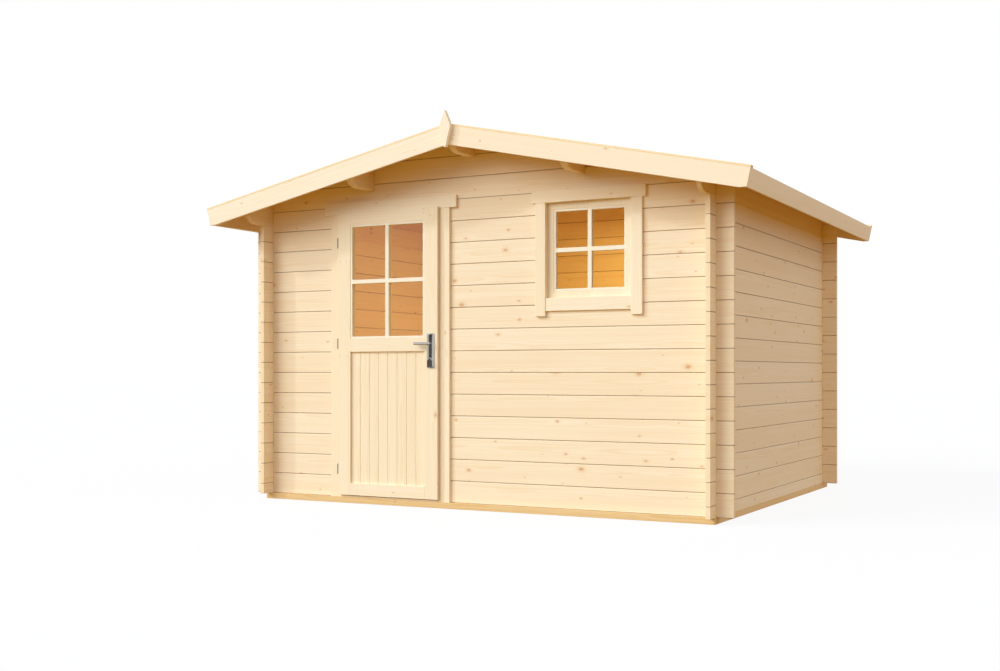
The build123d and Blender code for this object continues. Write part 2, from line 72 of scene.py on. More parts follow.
def vector_math(tree, operation, first, second):
    """A Vector Math node that gives a vector."""
    node = tree.nodes.new("ShaderNodeVectorMath")
    node.operation = operation
    feed(tree, node.inputs[0], first)
    feed(tree, node.inputs[1], second)
    return node.outputs[0]


def split(tree, vector):
    """The X, Y and Z of a vector."""
    node = tree.nodes.new("ShaderNodeSeparateXYZ")
    feed(tree, node.inputs[0], vector)
    return node.outputs[0], node.outputs[1], node.outputs[2]


def join(tree, x, y, z):
    """A vector from its X, Y and Z."""
    node = tree.nodes.new("ShaderNodeCombineXYZ")
    for socket, value in zip(node.inputs, (x, y, z)):
        feed(tree, socket, value)
    return node.outputs[0]


def fade(tree, value, start, end, low=0.0, high=1.0):
    """A soft step from low at start to high at end."""
    node = tree.nodes.new("ShaderNodeMapRange")
    node.interpolation_type = "SMOOTHSTEP"
    for socket, given in zip(node.inputs, (value, start, end, low, high)):
        feed(tree, socket, given)
    return node.outputs[0]


def blend(tree, factor, first, second, how="MIX"):
    """A Mix Color node."""
    node = tree.nodes.new("ShaderNodeMix")
    node.data_type = "RGBA"
    node.blend_type = how
    feed(tree, node.inputs[0], factor)
    feed(tree, node.inputs[6], first)
    feed(tree, node.inputs[7], second)
    return node.outputs[2]


def noise(tree, vector, detail=2.0, roughness=0.5):
    """A noise texture, 0 to 1, whose scale is already in its vector."""
    node = tree.nodes.new("ShaderNodeTexNoise")
    feed(tree, node.inputs["Vector"], vector)
    node.inputs["Scale"].default_value = 1.0
    node.inputs["Detail"].default_value = detail
    node.inputs["Roughness"].default_value = roughness
    return node.outputs[0]


def new_group(name, takes, gives):
    """An empty shader node group with named inputs and outputs."""
    group = bpy.data.node_groups.new(name, "ShaderNodeTree")
    for label, kind, value in takes:
        socket = group.interface.new_socket(label, in_out="INPUT", socket_type=kind)
        if value is not None:
            socket.default_value = value
    for label, kind in gives:
        group.interface.new_socket(label, in_out="OUTPUT", socket_type=kind)
    inlet = group.nodes.new("NodeGroupInput")
    outlet = group.nodes.new("NodeGroupOutput")
    return group, inlet.outputs, outlet.inputs


BRANCH_KNOTS = dict(cell=(0.62, 0.15), smallest=0.005, largest=0.012, squash=0.6)
PIN_KNOTS = dict(cell=(0.31, 0.11), smallest=0.0018, largest=0.0055, squash=0.5)
PITCH_POCKETS = dict(cell=(1.1, 0.13), smallest=0.0022, largest=0.0034, squash=0.045)
BOARD_STEP = 3.7
PIN_BOARDS = 51.3
POCKET_BOARDS = 23.7


def knots(tree, place, board, share, cell, smallest, largest, squash):
    """Distance from the nearest knot and that knot's radius, in metres. Knots lie on a grid of cells,
    share is the part of the cells that has one, and squash under 1 draws them out along the grain."""
    along, across, _ = split(tree, place)
    column = math(tree, "DIVIDE", along, cell[0])
    row = math(tree, "DIVIDE", across, cell[1])
    row = math(tree, "ADD", row, math(tree, "MULTIPLY", board, BOARD_STEP))
    here = join(tree, column, row, 0.0)
    spots = tree.nodes.new("ShaderNodeTexVoronoi")
    spots.voronoi_dimensions = "2D"
    spots.inputs["Scale"].default_value = 1.0
    feed(tree, spots.inputs["Vector"], here)
    off_x, off_y, _ = split(tree, vector_math(tree, "SUBTRACT", here, spots.outputs["Position"]))
    dx = math(tree, "MULTIPLY", off_x, cell[0] * squash)
    dy = math(tree, "MULTIPLY", off_y, cell[1])
    distance = math(tree, "SQRT", math(tree, "ADD", math(tree, "MULTIPLY", dx, dx),
                                       math(tree, "MULTIPLY", dy, dy)))
    chance, size, _ = split(tree, spots.outputs["Color"])
    size = math(tree, "MULTIPLY_ADD", math(tree, "MULTIPLY", size, size), largest - smallest, smallest)
    radius = math(tree, "MULTIPLY", math(tree, "LESS_THAN", chance, share), size)
    return distance, radius


spruce, taken, given = new_group(
    "planed_spruce",
    [("Place", "NodeSocketVector", None), ("Facing", "NodeSocketVector", None),
     ("Board", "NodeSocketFloat", 0.0), ("Ring Width", "NodeSocketFloat", 0.005),
     ("Grain", "NodeSocketFloat", 1.0), ("Knots", "NodeSocketFloat", 0.5),
     ("Pin Knots", "NodeSocketFloat", 0.5), ("Pitch Pockets", "NodeSocketFloat", 0.0),
     ("Pale", "NodeSocketColor", None), ("Deep", "NodeSocketColor", None),
     ("Knot", "NodeSocketColor", None)],
    [("Color", "NodeSocketColor"), ("Roughness", "NodeSocketFloat"), ("Height", "NodeSocketFloat")])


def fill_spruce(tree, taken, given):
    """Growth rings round a pith behind the face, fibres, soft streaks, knots and pitch pockets."""
    chance = tree.nodes.new("ShaderNodeTexWhiteNoise")
    chance.noise_dimensions = "1D"
    feed(tree, chance.inputs["W"], taken["Board"])
    first, second, third = split(tree, chance.outputs["Color"])
    shift = join(tree, math(tree, "MULTIPLY", first, 9.0), 0.0, 0.0)
    place = vector_math(tree, "ADD", taken["Place"], shift)
    along, across, through = split(tree, place)

    # Knots and pockets, their outlines made ragged
    ragged = math(tree, "MULTIPLY_ADD", noise(tree, vector_math(tree, "MULTIPLY", place, (60, 160, 160))),
                  0.6, 0.7)
    pin_board = math(tree, "ADD", taken["Board"], PIN_BOARDS)
    pocket_board = math(tree, "ADD", taken["Board"], POCKET_BOARDS)
    far, radius = knots(tree, place, taken["Board"], taken["Knots"], **BRANCH_KNOTS)
    far = math(tree, "MULTIPLY", far, ragged)
    pin_far, pin_radius = knots(tree, place, pin_board, taken["Pin Knots"], **PIN_KNOTS)
    pin_far = math(tree, "MULTIPLY", pin_far, ragged)
    pocket_far, pocket = knots(tree, place, pocket_board, taken["Pitch Pockets"], **PITCH_POCKETS)

    # Rings: the distance from a pith some 30 to 90 mm behind the face, bent by noise and round knots
    drift = noise(tree, vector_math(tree, "MULTIPLY", place, (0.8, 7, 7)), 2.0)
    waver = noise(tree, vector_math(tree, "MULTIPLY", place, (3.0, 18, 18)), 2.0)
    side = math(tree, "SUBTRACT", across, math(tree, "MULTIPLY_ADD", second, 0.10, -0.05))
    behind = math(tree, "ADD", through, math(tree, "MULTIPLY_ADD", third, 0.06, 0.03))
    reach = math(tree, "SQRT", math(tree, "ADD", math(tree, "MULTIPLY", side, side),
                                    math(tree, "MULTIPLY", behind, behind)))
    bend = math(tree, "MULTIPLY_ADD", drift, 0.03, math(tree, "MULTIPLY", waver, 0.006))
    reach = math(tree, "ADD", reach, bend)
    swirl = math(tree, "MULTIPLY", radius,
                 fade(tree, far, 0.0, math(tree, "MULTIPLY", radius, 4.0), 1.5, 0.0))
    reach = math(tree, "ADD", reach, swirl)
    ring = math(tree, "FRACT", math(tree, "DIVIDE", reach, taken["Ring Width"]))
    late = math(tree, "MULTIPLY", fade(tree, ring, 0.35, 0.92), fade(tree, ring, 0.94, 1.0, 1.0, 0.0))

    # Streaks, fibres and clouds, all drawn out along the grain, and the end grain
    streak = noise(tree, vector_math(tree, "MULTIPLY", place, (0.7, 38, 38)), 3.0, 0.6)
    streak = fade(tree, streak, 0.3, 0.8)
    fibre = noise(tree, vector_math(tree, "MULTIPLY", place, (7, 620, 620)), 2.0)
    cloud = noise(tree, vector_math(tree, "MULTIPLY", place, (1.3, 5, 5)), 2.0)
    end_x, _, _ = split(tree, taken["Facing"])
    end = fade(tree, math(tree, "ABSOLUTE", end_x), 0.75, 0.9)

    # The wood's colour, from pale to deep, with a small difference in tone from board to board
    ring_depth = math(tree, "MULTIPLY", late, math(tree, "MULTIPLY_ADD", end, 0.25, 0.34))
    fine_depth = math(tree, "ADD", math(tree, "MULTIPLY", streak, 0.34), math(tree, "MULTIPLY", fibre, 0.2))
    depth = math(tree, "MULTIPLY", math(tree, "ADD", ring_depth, fine_depth), taken["Grain"])
    tone = math(tree, "MULTIPLY_ADD", third, 0.04, math(tree, "MULTIPLY_ADD", cloud, 0.04, 0.95))
    warm_tone = join(tree, math(tree, "SQRT", tone), tone, math(tree, "MULTIPLY", tone, tone))
    wood = blend(tree, math(tree, "MINIMUM", depth, 1.0), taken["Pale"], taken["Deep"])
    wood = blend(tree, 1.0, wood, warm_tone, "MULTIPLY")
    wood = blend(tree, math(tree, "MULTIPLY", end, 0.3), wood, taken["Deep"])

    # The stained wood round a knot, resin in the pockets, and the knots themselves
    stain = fade(tree, far, math(tree, "MULTIPLY", radius, 2.6), 0.0)
    pin_stain = fade(tree, pin_far, math(tree, "MULTIPLY", pin_radius, 3.4), 0.0)
    glow = math(tree, "MAXIMUM", math(tree, "MULTIPLY", stain, 0.55),
                math(tree, "MULTIPLY", pin_stain, 0.5))
    resin = fade(tree, pocket_far, pocket, math(tree, "MULTIPLY", pocket, 0.35), 0.0, 0.6)
    core = math(tree, "MAXIMUM",
                fade(tree, far, radius, math(tree, "MULTIPLY", radius, 0.5), 0.0, 0.52),
                fade(tree, pin_far, pin_radius, math(tree, "MULTIPLY", pin_radius, 0.4), 0.0, 0.62))
    knot_rings = blend(tree, 1.0, taken["Knot"], (0.74, 0.6, 0.46, 1.0), "MULTIPLY")
    knot_wood = blend(tree, math(tree, "MULTIPLY", late, 0.6), taken["Knot"], knot_rings)
    stained = blend(tree, 0.6, taken["Deep"], taken["Knot"])
    wood = blend(tree, math(tree, "MAXIMUM", glow, resin), wood, stained)
    wood = blend(tree, core, wood, knot_wood)

    # Late wood is a little smoother, and stands a little proud with the fibres and the knots
    open_grain = math(tree, "MULTIPLY_ADD", fibre, 0.08, math(tree, "MULTIPLY", end, 0.1))
    roughness = math(tree, "ADD", math(tree, "MULTIPLY_ADD", late, -0.07, 0.6), open_grain)
    raised = math(tree, "ADD", math(tree, "MULTIPLY", fibre, 0.4), math(tree, "MULTIPLY", core, 0.3))
    height = math(tree, "ADD", math(tree, "MULTIPLY", late, 0.35), raised)
    feed(tree, given["Color"], wood)
    feed(tree, given["Roughness"], roughness)
    feed(tree, given["Height"], height)


fill_spruce(spruce, taken, given)

AXES = "xyz"
PATTERN_WIDTH = 0.12
PATTERN_DEPTH = 0.04
BOARD_SHIFT = 0.037
# Each joint is painted dark: a gap, with painted shade reaching further up the timber above than down the
# one below.
JOINT_GAP_AND_SHADE_COLOUR = (104, 64, 18)
SHADE_ABOVE_JOINT = (0.001, 0.0042)
BELOW_JOINT = (0.0004, 0.0014)


def timber(name, grain, face, board=0.0, stack=None, joint=0.0, turn=(0, 0, 0), pale=(254, 238, 210),
           deep=(245, 217, 170), knot=(214, 152, 84), ring=0.005, strength=1.0, knotty=0.5, pins=0.45,
           pockets=0.0):
    """Planed spruce whose grain runs along one axis and whose broad face looks along another.
    Each board number has a pattern of its own. stack is (axis, first, spacing) of like timbers in one
    piece, which count on from board, and joint is how dark the joints between them are: a dark gap with
    painted shade spreading over the edge above it."""
    material = bpy.data.materials.new(name)
    material.use_nodes = True
    tree = material.node_tree
    shader = tree.nodes["Principled BSDF"]
    shader.inputs["Specular IOR Level"].default_value = 0.25
    where = tree.nodes.new("ShaderNodeTexCoord")
    placed = tree.nodes.new("ShaderNodeMapping")
    placed.inputs["Rotation"].default_value = turn
    tree.links.new(where.outputs["Object"], placed.inputs["Vector"])
    facing = tree.nodes.new("ShaderNodeMapping")
    facing.vector_type = "VECTOR"
    facing.inputs["Rotation"].default_value = turn
    tree.links.new(where.outputs["Normal"], facing.inputs["Vector"])
    grain_axis, face_axis = AXES.index(grain), AXES.index(face)
    order = [grain_axis, 3 - grain_axis - face_axis, face_axis]
    spot = split(tree, placed.outputs[0])
    along, across, through = (spot[axis] for axis in order)
    normal = split(tree, facing.outputs[0])
    wood = tree.nodes.new("ShaderNodeGroup")
    wood.node_tree = spruce
    wood.inputs["Board"].default_value = board
    across = math(tree, "PINGPONG", math(tree, "ADD", across, board * BOARD_SHIFT), PATTERN_WIDTH)
    across = math(tree, "SUBTRACT", across, PATTERN_WIDTH / 2)
    joint_gap_and_shade = None
    if stack:
        axis, first, spacing = stack
        height = split(tree, where.outputs["Object"])[AXES.index(axis)]
        count = math(tree, "DIVIDE", math(tree, "SUBTRACT", height, first), spacing)
        tree.links.new(math(tree, "ADD", math(tree, "FLOOR", count), board), wood.inputs["Board"])
        if joint:
            # At each joint, a dark gap with painted shade spreading about 4 mm up over the edge of the
            # timber above.
            above_joint = math(tree, "MULTIPLY", math(tree, "FRACT", count), spacing)
            below_joint = math(tree, "SUBTRACT", spacing, above_joint)
            across = math(tree, "SUBTRACT", above_joint, spacing / 2)
            joint_gap_and_shade = math(tree, "MAXIMUM", fade(tree, above_joint, *SHADE_ABOVE_JOINT, joint, 0.0),
                       fade(tree, below_joint, *BELOW_JOINT, joint, 0.0))
    through = math(tree, "PINGPONG", through, PATTERN_DEPTH)
    tree.links.new(join(tree, along, across, through), wood.inputs["Place"])
    tree.links.new(join(tree, *(normal[axis] for axis in order)), wood.inputs["Facing"])
    wood.inputs["Ring Width"].default_value = ring
    wood.inputs["Grain"].default_value = strength
    wood.inputs["Knots"].default_value = knotty
    wood.inputs["Pin Knots"].default_value = pins
    wood.inputs["Pitch Pockets"].default_value = pockets
    wood.inputs["Pale"].default_value = paint(*pale)
    wood.inputs["Deep"].default_value = paint(*deep)
    wood.inputs["Knot"].default_value = paint(*knot)
    colour = wood.outputs["Color"]
    if joint_gap_and_shade is not None:
        colour = blend(tree, joint_gap_and_shade, colour, paint(*JOINT_GAP_AND_SHADE_COLOUR))
    tree.links.new(colour, shader.inputs["Base Color"])
    tree.links.new(wood.outputs["Roughness"], shader.inputs["Roughness"])
    bump = tree.nodes.new("ShaderNodeBump")
    bump.inputs["Strength"].default_value = 0.5
    bump.inputs["Distance"].default_value = 0.0004
    tree.links.new(wood.outputs["Height"], bump.inputs["Height"])
    tree.links.new(bump.outputs[0], shader.inputs["Normal"])
    return material


def soft_shading():
    """Geometry nodes that smooth the shading except across edges sharper than 40 degrees."""
    tree = bpy.data.node_groups.new("soft_shading", "GeometryNodeTree")
    tree.interface.new_socket("Geometry", in_out="INPUT", socket_type="NodeSocketGeometry")
    tree.interface.new_socket("Geometry", in_out="OUTPUT", socket_type="NodeSocketGeometry")
    inlet = tree.nodes.new("NodeGroupInput")
    outlet = tree.nodes.new("NodeGroupOutput")
    smooth = tree.nodes.new("GeometryNodeSetShadeSmooth")
    sharp = tree.nodes.new("GeometryNodeSetShadeSmooth")
    sharp.domain = "EDGE"
    angle = tree.nodes.new("GeometryNodeInputMeshEdgeAngle")
    compare = tree.nodes.new("FunctionNodeCompare")
    compare.operation = "LESS_THAN"
    compare.inputs[1].default_value = radians(40)
    tree.links.new(inlet.outputs[0], smooth.inputs["Geometry"])
    tree.links.new(smooth.outputs[0], sharp.inputs["Geometry"])
    tree.links.new(angle.outputs[0], compare.inputs[0])
    tree.links.new(compare.outputs[0], sharp.inputs["Shade Smooth"])
    tree.links.new(sharp.outputs[0], outlet.inputs[0])
    return tree


shading = soft_shading()


def ease_edges(piece, width, segments=2, angle=40):
    """Rounds a piece's edges a little, as sanding or planing does."""
    weld = piece.modifiers.new("weld", "WELD")
    weld.merge_threshold = 0.00002
    flat = piece.modifiers.new("flat_faces", "DECIMATE")
    flat.decimate_type = "DISSOLVE"
    flat.angle_limit = radians(0.5)
    round_off = piece.modifiers.new("eased_edges", "BEVEL")
    round_off.width = width
    round_off.segments = segments
    round_off.limit_method = "ANGLE"
    round_off.angle_limit = radians(angle)
    round_off.use_clamp_overlap = True
    smooth = piece.modifiers.new("shading", "NODES")
    smooth.node_group = shading
    level = piece.modifiers.new("level_faces", "WEIGHTED_NORMAL")
    level.keep_sharp = True


def dress(names, material, width=0.0015, segments=2, angle=40):
    """Gives CAD nodes their material and eases their edges."""
    for name in names:
        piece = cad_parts[name]
        piece.data.materials.clear()
        piece.data.materials.append(material)
        ease_edges(piece, width, segments, angle)


SILL_COLOURS = dict(pale=(240, 209, 156), deep=(223, 179, 112), knot=(176, 112, 56), knotty=0.35)

# A spacing of 9 m tells the front from the rear, and one of 0.4 m the beams that lie side by side
FRONT_AND_REAR = ("y", -9.0, 9.0)
SIDE_BY_SIDE = ("x", -10.2, 0.4)
across_sills = timber("sill_across", "x", "y", board=11.0, stack=FRONT_AND_REAR, **SILL_COLOURS)
along_sills = timber("sill_along", "y", "x", board=12.0, stack=SIDE_BY_SIDE, **SILL_COLOURS)
dress(["end_sills"], across_sills)
dress(["side_sills", "floor_joists"], along_sills)


# Floor
# Planed boards 18 mm thick, nailed across the joists from wall to wall, each with a small bevel along
# its edges so that every joint shows as a fine line.
FLOOR_BOARD = 0.093
FLOOR_BEVEL = 0.0015
BOARD_JOINT = 0.0005
floor_low, floor_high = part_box("floor_boards")


def plank(bm, low, high, edge, upper=True, lower=True):
    """One board between two corners, whose edges along X are bevelled above, below or both."""
    made = bmesh.ops.create_cube(bm, size=1.0)
    size = high - low
    bmesh.ops.scale(bm, vec=size, verts=made["verts"])
    bmesh.ops.translate(bm, vec=(low + high) / 2, verts=made["verts"])
    middle = (low.z + high.z) / 2
    edges = set()
    same = 1e-6
    for vert in made["verts"]:
        for side in vert.link_edges:
            one, two = side.verts
            if abs(one.co.y - two.co.y) < same and abs(one.co.z - two.co.z) < same:
                if (upper and one.co.z > middle) or (lower and one.co.z < middle):
                    edges.add(side)
    bmesh.ops.bevel(bm, geom=list(edges), offset=edge, segments=1, profile=0.5, affect="EDGES",
                    material=-1)


def new_piece(name, bm, material, body):
    """A finished mesh as a piece that rides on a body."""
    mesh = bpy.data.meshes.new(name)
    bmesh.ops.recalc_face_normals(bm, faces=bm.faces)
    bm.to_mesh(mesh)
    bm.free()
    mesh.materials.append(material)
    piece = bpy.data.objects.new(name, mesh)
    bpy.context.scene.collection.objects.link(piece)
    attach(piece, body)
    return piece


def board_rows(low, high, width):
    """The start and end across a surface of boards of about one width that fill it."""
    count = max(1, round((high - low) / width))
    step = (high - low) / count
    return [(low + step * number, low + step * (number + 1)) for number in range(count)]


floor_rows = board_rows(floor_low.y, floor_high.y, FLOOR_BOARD)
floor_step = floor_rows[0][1] - floor_rows[0][0]
floor_mesh = bmesh.new()
for start, end in floor_rows:
    plank(floor_mesh, Vector((floor_low.x, start + BOARD_JOINT, floor_low.z)),
          Vector((floor_high.x, end - BOARD_JOINT, floor_high.z)), FLOOR_BEVEL)
BOARD_SHADE = 0.6
floor_wood = timber("floor_wood", "x", "z", board=20.0, stack=("y", floor_low.y, floor_step),
                    joint=BOARD_SHADE, pale=(240, 212, 165), deep=(222, 182, 124))
floor_piece = new_piece("floor_planks", floor_mesh, floor_wood, "shed")
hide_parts("floor_boards")


def members(name, axis, apart=0.15):
    """The middles along one axis of a node's timbers, which are narrower than apart and lie further
    from each other than that."""
    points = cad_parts[name].data.vertices
    spots = sorted({round(point.co[AXES.index(axis)], 4) for point in points})
    groups = [[spots[0]]]
    for spot in spots[1:]:
        if spot - groups[-1][-1] > apart:
            groups.append([])
        groups[-1].append(spot)
    return [(group[0] + group[-1]) / 2 for group in groups]


NAIL_RADIUS = 0.0035
NAIL_PROUD = 0.0007
NAIL_EDGE = 0.022


def nail(bm, place):
    """The round head of a nail, narrower at its top, half sunk in a level surface."""
    made = bmesh.ops.create_cone(bm, cap_ends=True, segments=10, radius1=NAIL_RADIUS,
                                 radius2=NAIL_RADIUS * 0.7, depth=NAIL_PROUD * 2)
    bmesh.ops.translate(bm, vec=place, verts=made["verts"])


def nailing_steel(name):
    """Bright steel nails, dulled by air."""
    material = bpy.data.materials.new(name)
    material.use_nodes = True
    tree = material.node_tree
    shader = tree.nodes["Principled BSDF"]
    shader.inputs["Metallic"].default_value = 1.0
    where = tree.nodes.new("ShaderNodeTexCoord")
    spots = noise(tree, vector_math(tree, "MULTIPLY", where.outputs["Object"], (420, 420, 420)), 3.0)
    dulled = blend(tree, spots, paint(150, 148, 144), paint(96, 90, 84))
    tree.links.new(dulled, shader.inputs["Base Color"])
    tree.links.new(math(tree, "MULTIPLY_ADD", spots, 0.3, 0.3), shader.inputs["Roughness"])
    return material


nail_steel = nailing_steel("nail_steel")
nails_mesh = bmesh.new()
for start, end in floor_rows:
    for x in members("floor_joists", "x"):
        for y in (start + NAIL_EDGE, end - NAIL_EDGE):
            nail(nails_mesh, Vector((x, y, floor_high.z)))
new_piece("floor_nails", nails_mesh, nail_steel, "shed")


# Log walls
# Planed spruce logs 28 mm thick, tongued and grooved, stacked dry and locked where they cross at the
# corners. A V runs along every joint; the side walls lie half a log off the front and rear walls.
COURSE = 0.130
LOG_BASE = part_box("front_wall_left")[0].z
FRONT_LOGS = ("z", LOG_BASE, COURSE)
SIDE_LOGS = ("z", LOG_BASE - COURSE / 2, COURSE)
JOINT_SHADE = 0.75
LOG_EDGE = 0.0012
front_logs = timber("front_logs", "x", "y", board=100.0, stack=FRONT_LOGS, joint=JOINT_SHADE)
rear_logs = timber("rear_logs", "x", "y", board=140.0, stack=FRONT_LOGS, joint=JOINT_SHADE)
left_logs = timber("left_logs", "y", "x", board=180.0, stack=SIDE_LOGS, joint=JOINT_SHADE)
right_logs = timber("right_logs", "y", "x", board=220.0, stack=SIDE_LOGS, joint=JOINT_SHADE)
dress(["front_wall_left", "front_wall_right", "front_wall_middle", "front_wall_corner"], front_logs,
      LOG_EDGE)
dress(["rear_wall"], rear_logs, LOG_EDGE)
dress(["left_wall"], left_logs, LOG_EDGE)
dress(["right_wall"], right_logs, LOG_EDGE)


# Gables
# The same logs carried on over the front and rear walls, cut to the slope of the roof and slotted
# for the purlins.
dress(["front_gable"], front_logs, LOG_EDGE)
dress(["rear_gable"], rear_logs, LOG_EDGE)


# Purlins
# Five spruce beams along the roof: one at the ridge, two half way down and two on the side walls.
# Their ends under the overhang are rounded upwards.
PURLIN_ROUNDING = 0.007
purlin_wood = timber("purlin_wood", "y", "x", board=31.0, stack=SIDE_BY_SIDE, ring=0.004, pins=0.2,
                     pale=(250, 226, 184), deep=(232, 194, 134))
dress(["ridge_purlin", "mid_purlins"], purlin_wood, PURLIN_ROUNDING, segments=4)
dress(["wall_purlins"], purlin_wood)


# Roof boards
# Tongued boards 18 mm thick, laid from ridge to eaves across the purlins and nailed down. Their lower
# face is planed, with a V along every joint.
ROOF_BOARD = 0.094
ROOF_BEVEL = 0.0025
ROOF_THICKNESS = 0.018
RIDGE_LAP = 0.02
RIDGE_NAIL = 0.02
PITCH = radians(12.0)
roof_low, roof_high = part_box("roof_boards_right")
roof_rows = board_rows(roof_low.y, roof_high.y, ROOF_BOARD)
roof_step = roof_rows[0][1] - roof_rows[0][0]
slope_turn = {"right": (0, -PITCH, 0), "left": (0, PITCH, 0)}


def onto_slope(bm, side):
    """Tilts what was laid flat at z = 0 down from the ridge, and mirrors it for the left slope."""
    bmesh.ops.rotate(bm, cent=(0, 0, 0), matrix=Matrix.Rotation(PITCH, 3, "Y"), verts=bm.verts)
    bmesh.ops.translate(bm, vec=(0, 0, roof_high.z), verts=bm.verts)
    if side == "left":
        bmesh.ops.scale(bm, vec=(-1, 1, 1), verts=bm.verts)


def roof_side(side):
    """The boards of one roof slope, cut plumb at the ridge."""
    bm = bmesh.new()
    for start, end in roof_rows:
        plank(bm, Vector((-RIDGE_LAP, start + BOARD_JOINT, -ROOF_THICKNESS)),
              Vector((roof_high.x / cos(PITCH), end - BOARD_JOINT, 0.0)), ROOF_BEVEL, upper=False)
    onto_slope(bm, side)
    outward = 1 if side == "right" else -1
    bmesh.ops.bisect_plane(bm, geom=bm.verts[:] + bm.edges[:] + bm.faces[:], clear_inner=True,
                           plane_co=(outward * BOARD_JOINT / 2, 0, 0), plane_no=(outward, 0, 0))
    bmesh.ops.holes_fill(bm, edges=[e for e in bm.edges if e.is_boundary], sides=0)
    return bm


def roof_nails(side):
    """Two nails into each purlin through every board but the first and the last."""
    bm = bmesh.new()
    purlins = members("mid_purlins", "x") + members("wall_purlins", "x")
    lines = [RIDGE_NAIL] + [x / cos(PITCH) for x in purlins if x > 0]
    for start, end in roof_rows[1:-1]:
        for along in lines:
            for y in (start + NAIL_EDGE, end - NAIL_EDGE):
                nail(bm, Vector((along, y, 0.0)))
    onto_slope(bm, side)
    return bm


# The roof boards are a deeper, more orange wood than the logs, a colour that also stands in for part of the
# shade under the eaves.
for side in ("left", "right"):
    wood = timber(f"roof_wood_{side}", "x", "z", board=300.0 if side == "left" else 360.0,
                  stack=("y", roof_low.y, roof_step), joint=BOARD_SHADE, turn=slope_turn[side],
                  pale=(240, 204, 142), deep=(218, 166, 94))
    piece = new_piece(f"roof_planks_{side}", roof_side(side), wood, "shed")
    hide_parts(f"roof_boards_{side}")
    new_piece(f"roof_nails_{side}", roof_nails(side), nail_steel, "shed")


# Barge boards, fascias and verge strips
# Planed boards nailed over the ends of the roof boards and purlins at both gables and along the
# eaves, with a thin strip along the top of those at the gables.
TRIM_COLOURS = dict(pale=(255, 241, 216), deep=(249, 225, 184), knot=(222, 162, 96))
STRIP_EDGE = 0.001
LEFT_AND_RIGHT = ("x", -9.0, 9.0)
for side in ("left", "right"):
    trim = timber(f"barge_wood_{side}", "x", "y", board=404.0 if side == "left" else 403.0,
                  turn=slope_turn[side], knotty=0.1, pins=0.8, pockets=0.5, strength=0.8, **TRIM_COLOURS)
    dress([f"barge_boards_{side}"], trim)
    strip = timber(f"strip_wood_{side}", "x", "y", board=417.0, turn=slope_turn[side], knotty=0.0,
                   pins=0.2, pale=(252, 230, 186), deep=(240, 206, 146))
    dress([f"verge_strips_{side}"], strip, STRIP_EDGE)
fascia_wood = timber("fascia_wood", "y", "x", board=407.0, stack=LEFT_AND_RIGHT, knotty=0.2, pins=0.6,
                     strength=1.1, **TRIM_COLOURS)
dress(["eaves_fascias"], fascia_wood)


# Finials
# A planed board in the shape of a kite, nailed over the joint of the barge boards at the top of each
# gable, its grain upright and without knots.
finial_wood = timber("finial_wood", "z", "y", board=409.0, knotty=0.0, pins=0.0, strength=0.9,
                     **TRIM_COLOURS)
dress(["finial_boards"], finial_wood)


# Door frame
# Jambs and head are planed and sanded spruce, grooved over the ends of the logs, with casings in one
# piece outside and inside. The threshold is a rebated board screwed to the sill.
JOINERY_COLOURS = dict(pale=(254, 240, 212), deep=(246, 222, 178), knot=(216, 160, 96), ring=0.0035)
UPRIGHT = dict(knotty=0.1, pins=0.2, strength=0.9, **JOINERY_COLOURS)
door_middle = sum(corner.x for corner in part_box("door_panel")) / 2
DOOR_SIDES = ("x", door_middle - 9.0, 9.0)
DOOR_LEVELS = ("z", -0.3, 0.8)
door_uprights = timber("door_uprights", "z", "y", board=500.0, stack=DOOR_SIDES, **UPRIGHT)
door_levels = timber("door_levels", "x", "y", board=510.0, stack=DOOR_LEVELS, knotty=0.3, pins=0.4,
                     strength=0.8, **JOINERY_COLOURS)
dress(["door_jambs"], door_uprights)
dress(["door_head", "door_threshold"], door_levels)


# Door leaf
# A glued frame of stiles and rails. The lower field is filled with narrow upright boards, the upper
# one with a pane held by beads and a cross of bars on both faces.
PANEL_BOARDS = 8
FRAME_EDGE = 0.001
PANEL_EDGE = 0.0006
BAR_ROUNDING = 0.003
LEVEL = dict(knotty=0.2, pins=0.4, strength=0.8, **JOINERY_COLOURS)
panel_low, panel_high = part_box("door_panel")
panel_board = (panel_high.x - panel_low.x) / PANEL_BOARDS
leaf_uprights = timber("leaf_uprights", "z", "y", board=540.0, stack=DOOR_SIDES, **UPRIGHT)
leaf_levels = timber("leaf_levels", "x", "y", board=545.0, stack=DOOR_LEVELS, **LEVEL)
panel_wood = timber("panel_wood", "z", "y", board=520.0, stack=("x", panel_low.x, panel_board),
                    knotty=0.0, pins=0.1, strength=1.3, **JOINERY_COLOURS)
bead_wood = timber("bead_wood", "x", "y", board=530.0, knotty=0.0, pins=0.0, strength=0.5,
                   pale=(255, 247, 226), deep=(250, 232, 198))
dress(["door_stiles"], leaf_uprights, FRAME_EDGE)
dress(["door_rails"], leaf_levels, FRAME_EDGE)
dress(["door_panel"], panel_wood, PANEL_EDGE)
dress(["door_bars", "window_bars"], bead_wood, BAR_ROUNDING, segments=3)


